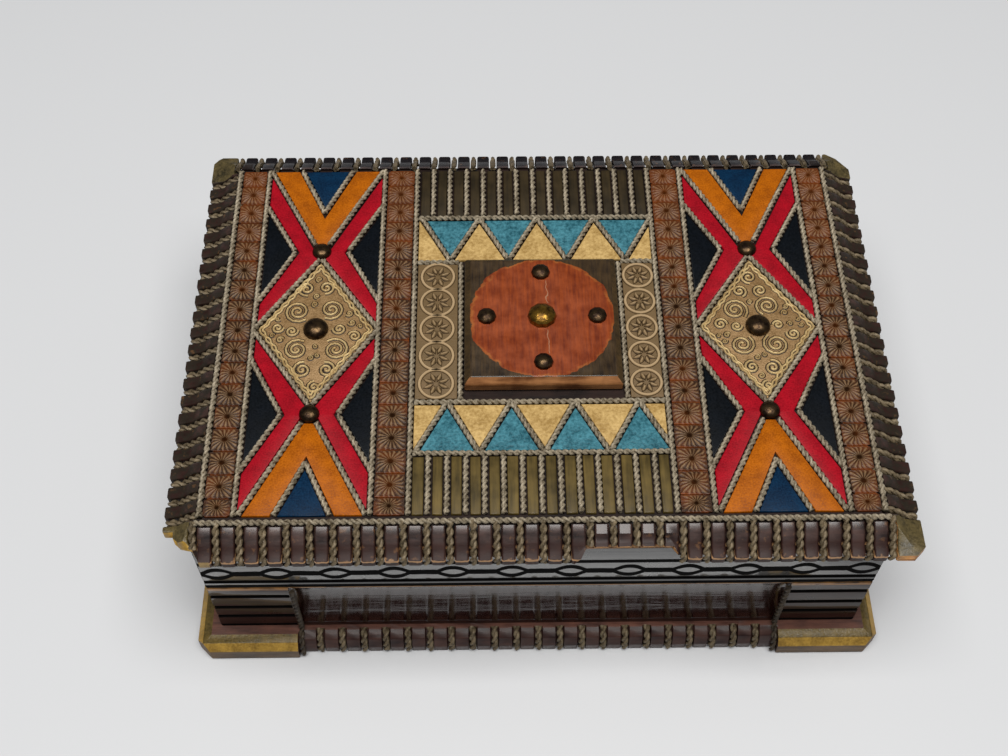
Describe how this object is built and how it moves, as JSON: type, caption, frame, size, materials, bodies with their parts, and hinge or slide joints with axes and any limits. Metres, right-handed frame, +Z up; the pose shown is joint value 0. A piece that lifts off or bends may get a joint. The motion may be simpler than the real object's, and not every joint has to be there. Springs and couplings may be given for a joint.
{
  "type": "wooden hinged box",
  "caption": "Wooden hinged box with a notched lid rim, twisted wire inlay, painted red, orange and blue fields, stamped strips and a raised nailed plaque.",
  "frame": {"origin": "middle of the underside", "axes": "+Z up, +X along the length to the right seen from the front, the front faces -Y"},
  "size_m": [0.212, 0.152, 0.0772],
  "materials": {
    "dark_wood": "dark stained and varnished, glossy",
    "stamped_wood": "brown stain with worn orange edges",
    "plaque_wood": "olive stain, orange painted disc, worn edges",
    "painted_wood": "matte paint in red, orange, blue, turquoise and cream",
    "embossed_foil": "embossed, aged, dark in the lines",
    "twisted_wire": "dull grey-brown patina",
    "antique_brass": "dark antique brass, worn bright on top"
  },
  "bodies": {
    "box": {"base_board": "dark_wood", "wall_front": "dark_wood", "wall_back": "dark_wood", "wall_left": "dark_wood", "wall_right": "dark_wood", "wall_wire_left": "twisted_wire", "wall_wire_right": "twisted_wire", "hinge_left_wall_leaf": "antique_brass", "hinge_left_pin": "antique_brass", "hinge_right_wall_leaf": "antique_brass", "hinge_right_pin": "antique_brass"},
    "lid": {"lid_board": "dark_wood", "lid_plaque": "plaque_wood", "diamond_left": "embossed_foil", "diamond_right": "embossed_foil", "flower_strip_left": "stamped_wood", "flower_strip_right": "stamped_wood", "rosette_strip_outer_left": "stamped_wood", "rosette_strip_inner_left": "stamped_wood", "rosette_strip_inner_right": "stamped_wood", "rosette_strip_outer_right": "stamped_wood", "long_wire_left": "twisted_wire", "long_wire_right": "twisted_wire", "border_wire_front": "twisted_wire", "field_wires_left": "twisted_wire", "field_wires_right": "twisted_wire", "blue_field_wire_left_back": "twisted_wire", "blue_field_wire_left_front": "twisted_wire", "blue_field_wire_right_back": "twisted_wire", "blue_field_wire_right_front": "twisted_wire", "centre_wires": "twisted_wire", "nail_left_back": "antique_brass", "nail_left_middle": "antique_brass", "nail_left_front": "antique_brass", "nail_right_back": "antique_brass", "nail_right_middle": "antique_brass", "nail_right_front": "antique_brass", "nail_plaque_centre": "antique_brass", "nail_plaque_right": "antique_brass", "nail_plaque_back": "antique_brass", "nail_plaque_left": "antique_brass", "nail_plaque_front": "antique_brass", "hinge_left_lid_leaf": "antique_brass", "hinge_right_lid_leaf": "antique_brass"}
  },
  "joints": [
    {"name": "lid_hinge", "type": "hinge", "parent": "box", "child": "lid", "pos_m": [0, 0.0705, 0.06185], "axis": [-1, 0, 0], "range_deg": [0, 110]}
  ]
}
